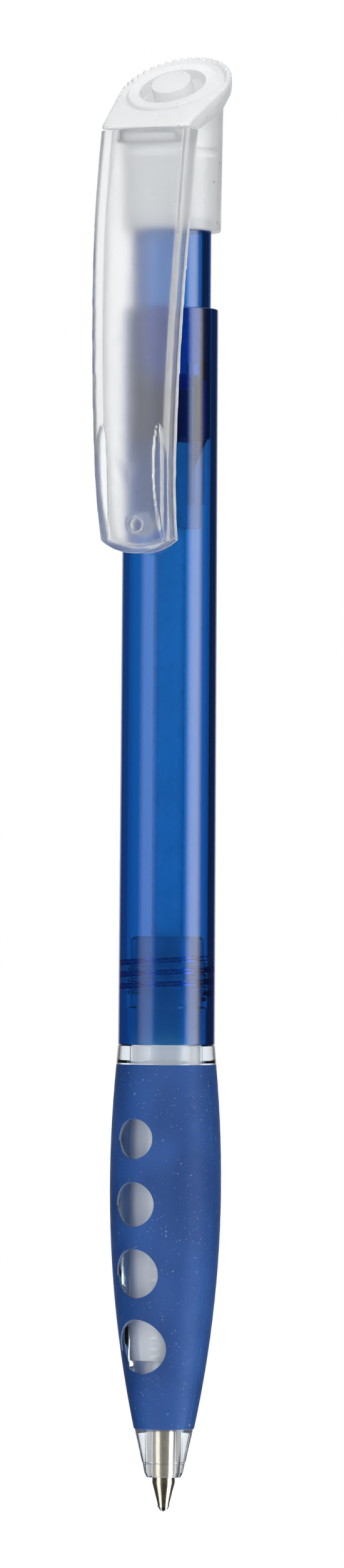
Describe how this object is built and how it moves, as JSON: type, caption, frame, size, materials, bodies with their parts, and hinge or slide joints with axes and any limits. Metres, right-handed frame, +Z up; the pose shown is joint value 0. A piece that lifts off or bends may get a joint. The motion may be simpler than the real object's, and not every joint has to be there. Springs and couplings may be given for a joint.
{
  "type": "retractable ball pen",
  "caption": "Slim push-button ball pen with a see-through barrel, soft grip with clear round windows, slanted frosted push cap and a bowed pocket clip.",
  "frame": {"origin": "lowest point of the writing ball, on the pen axis, with the tip out", "axes": "+Z up the pen axis from tip to head; the clip is on the -Y side; +X completes the right-handed frame"},
  "size_m": [0.012, 0.0159, 0.1484],
  "materials": {
    "barrel_blue": "polished transparent blue",
    "clear_plastic": "polished clear",
    "grip_rubber": "matte translucent blue rubber",
    "frosted_plastic": "frosted, fine satin texture",
    "plunger_blue": "polished transparent blue",
    "cam_plastic": "natural acetal",
    "refill_plastic": "natural polypropylene",
    "tip_metal": "turned nickel silver",
    "spring_steel": "drawn wire",
    "carbide": "ground tungsten carbide",
    "ink": "wet blue paste"
  },
  "bodies": {
    "barrel_unit": {"barrel": "barrel_blue", "front_section": "clear_plastic", "grip_sleeve": "grip_rubber", "spring": "spring_steel"},
    "push_head": {"push_cap": "frosted_plastic", "push_skirt": "frosted_plastic", "plunger": "plunger_blue"},
    "clip": {"clip": "frosted_plastic"},
    "refill": {"refill_tube": "refill_plastic", "tip_holder": "refill_plastic", "refill_tip": "tip_metal", "ink_column": "ink", "refill_plug": "refill_plastic"},
    "rotor": {"rotor_cam": "cam_plastic"},
    "ball": {"writing_ball": "carbide"}
  },
  "joints": [
    {"name": "push_slide", "type": "slide", "parent": "barrel_unit", "child": "push_head", "axis": [0, 0, 1], "range_m": [-0.0018, 0.0055]},
    {"name": "refill_slide", "type": "slide", "parent": "barrel_unit", "child": "refill", "axis": [0, 0, 1], "range_m": [-0.0018, 0.0055], "deforming": ["spring"]},
    {"name": "rotor_turn", "type": "hinge", "parent": "refill", "child": "rotor", "pos_m": [0, 0, 0.103], "axis": [0, 0, 1], "range_deg": [-14.8, 45.1]},
    {"name": "clip_flex", "type": "hinge", "parent": "push_head", "child": "clip", "pos_m": [0, -0.006, 0.13925], "axis": [-1, 0, 0], "range_deg": [0, 4], "stiffness_Nm_per_rad": 1},
    {"name": "ball_roll", "type": "hinge", "parent": "refill", "child": "ball", "pos_m": [0, 0, 0.0005], "axis": [1, 0, 0], "continuous": true}
  ],
  "couplings": [
    {"joint": "refill_slide", "follows": "push_slide", "ratio": 1},
    {"joint": "rotor_turn", "follows": "push_slide", "rad_per_m": 142.8}
  ]
}
